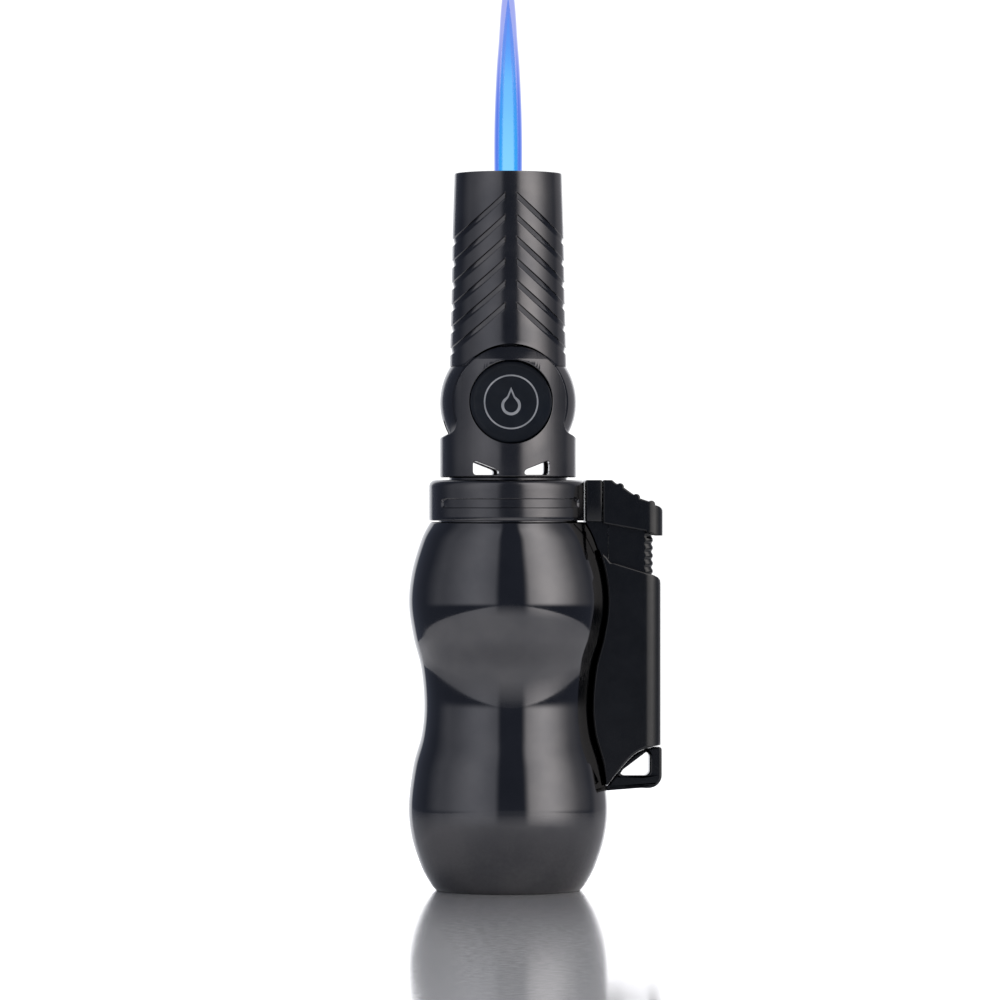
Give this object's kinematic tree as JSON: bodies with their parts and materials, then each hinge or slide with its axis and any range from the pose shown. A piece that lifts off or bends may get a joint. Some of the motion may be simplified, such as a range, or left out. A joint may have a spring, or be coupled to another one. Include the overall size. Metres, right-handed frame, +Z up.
{
  "type": "butane torch",
  "caption": "Handheld gas torch with a polished hourglass body, a burner barrel that tilts on a yoke, and a thumb trigger over a side housing.",
  "frame": {"origin": "middle of the flat base, on the body's axis", "axes": "+Z up along the body, +X towards the trigger and handle housing, -Y the front"},
  "size_m": [0.0495, 0.0388, 0.14],
  "materials": {
    "gunmetal": "polished dark plating",
    "black_plastic": "satin moulded",
    "satin_black": "satin",
    "steel": "plain",
    "brass": "machined",
    "tank_plastic": "moulded",
    "wire_cover": "smooth insulation",
    "rubber": "matte",
    "ceramic": "glazed ceramic"
  },
  "bodies": {
    "torch_body": {"body_shell": "gunmetal", "base_plate": "satin_black", "base_screw_left": "steel", "base_screw_right": "steel", "fuel_tank": "tank_plastic", "tank_lid": "tank_plastic", "fill_valve_body": "brass", "gas_valve_body": "brass", "lever_pin": "steel", "top_cap": "gunmetal", "cap_screw_1": "steel", "cap_screw_2": "steel", "cap_screw_3": "steel", "trigger_guide": "black_plastic", "pivot_yoke": "gunmetal", "pivot_cover_front": "satin_black", "pivot_cover_rear": "satin_black", "pivot_screw_front": "steel", "pivot_screw_rear": "steel", "pivot_washer_front": "steel", "pivot_washer_rear": "steel", "handle_housing": "black_plastic", "housing_screw_upper": "steel", "housing_screw_lower": "steel", "lanyard_loop": "black_plastic", "igniter_body": "black_plastic", "igniter_wire_lower": "wire_cover", "gas_hose_lower": "rubber"},
    "burner_head": {"nozzle_barrel": "gunmetal", "ball_knuckle": "gunmetal", "burner_tube": "steel", "burner_holder": "steel", "flame_nozzle": "brass", "gas_jet": "brass", "electrode_insulator": "ceramic", "electrode": "steel", "gas_hose_upper": "rubber", "igniter_wire_upper": "wire_cover"},
    "trigger": {"trigger": "black_plastic", "igniter_plunger": "steel", "trigger_spring": "steel"},
    "valve_lever": {"valve_lever": "steel"},
    "gas_valve_stem": {"gas_valve_stem": "brass", "gas_valve_spring": "steel"},
    "fill_valve_stem": {"fill_valve_stem": "brass", "fill_valve_spring": "steel"},
    "flame_adjuster": {"flame_adjuster": "brass"}
  },
  "joints": [
    {"name": "barrel_tilt", "type": "hinge", "parent": "torch_body", "child": "burner_head", "pos_m": [0, 0, 0.0952], "axis": [0, 1, 0], "range_deg": [-60, 60]},
    {"name": "trigger_press", "type": "slide", "parent": "torch_body", "child": "trigger", "axis": [0, 0, -1], "range_m": [0, 0.005], "stiffness_N_per_m": 900, "springref_m": -0.002, "deforming": ["trigger_spring"]},
    {"name": "lever_rock", "type": "hinge", "parent": "torch_body", "child": "valve_lever", "pos_m": [0.004, 0, 0.0675], "axis": [0, 1, 0], "range_deg": [0, 18.5]},
    {"name": "gas_valve_lift", "type": "slide", "parent": "torch_body", "child": "gas_valve_stem", "axis": [0, 0, 1], "range_m": [0, 0.0018], "deforming": ["gas_valve_spring"]},
    {"name": "fill_valve_push", "type": "slide", "parent": "torch_body", "child": "fill_valve_stem", "axis": [0, 0, 1], "range_m": [0, 0.0015], "stiffness_N_per_m": 600, "springref_m": -0.001, "deforming": ["fill_valve_spring"]},
    {"name": "flame_adjust", "type": "hinge", "parent": "torch_body", "child": "flame_adjuster", "pos_m": [0.0062, 0, 0.002], "axis": [0, 0, 1], "range_deg": [-135, 135]}
  ],
  "couplings": [
    {"joint": "lever_rock", "follows": "trigger_press", "rad_per_m": 64},
    {"joint": "gas_valve_lift", "follows": "trigger_press", "ratio": 0.36}
  ]
}
